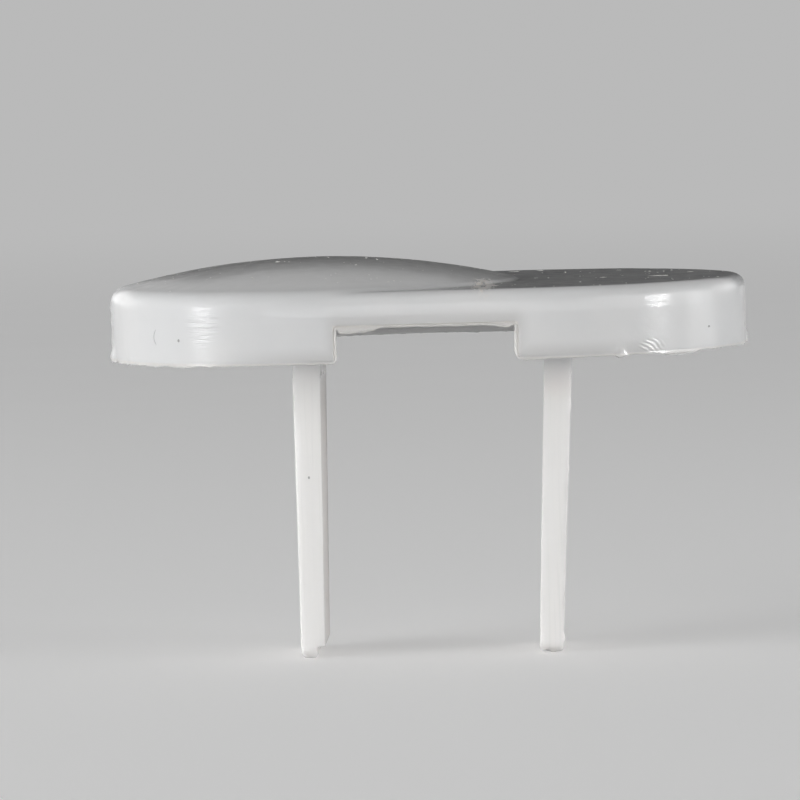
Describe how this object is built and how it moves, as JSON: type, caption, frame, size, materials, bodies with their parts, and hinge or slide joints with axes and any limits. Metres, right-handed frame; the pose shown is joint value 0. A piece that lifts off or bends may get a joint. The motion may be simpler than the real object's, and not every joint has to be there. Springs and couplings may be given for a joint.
{
  "type": "outlet safety cover",
  "caption": "Plug-in safety cover for a power outlet: a round-ended hollow plate with a low dome beside a flat, a pry notch in its skirt and flat blades that fill the slots.",
  "frame": {"origin": "midway between the blades' roots, on the seat where the skirt's rim meets the outlet", "axes": "+Z points away from the outlet, +X runs along the plate from the domed end to the flat end, and the pry notch is on the -Y side"},
  "size_m": [0.0322, 0.021, 0.0203],
  "materials": {
    "white_plastic": "satin"
  },
  "bodies": {
    "root": {"outlet_cover": "white_plastic"}
  },
  "joints": []
}
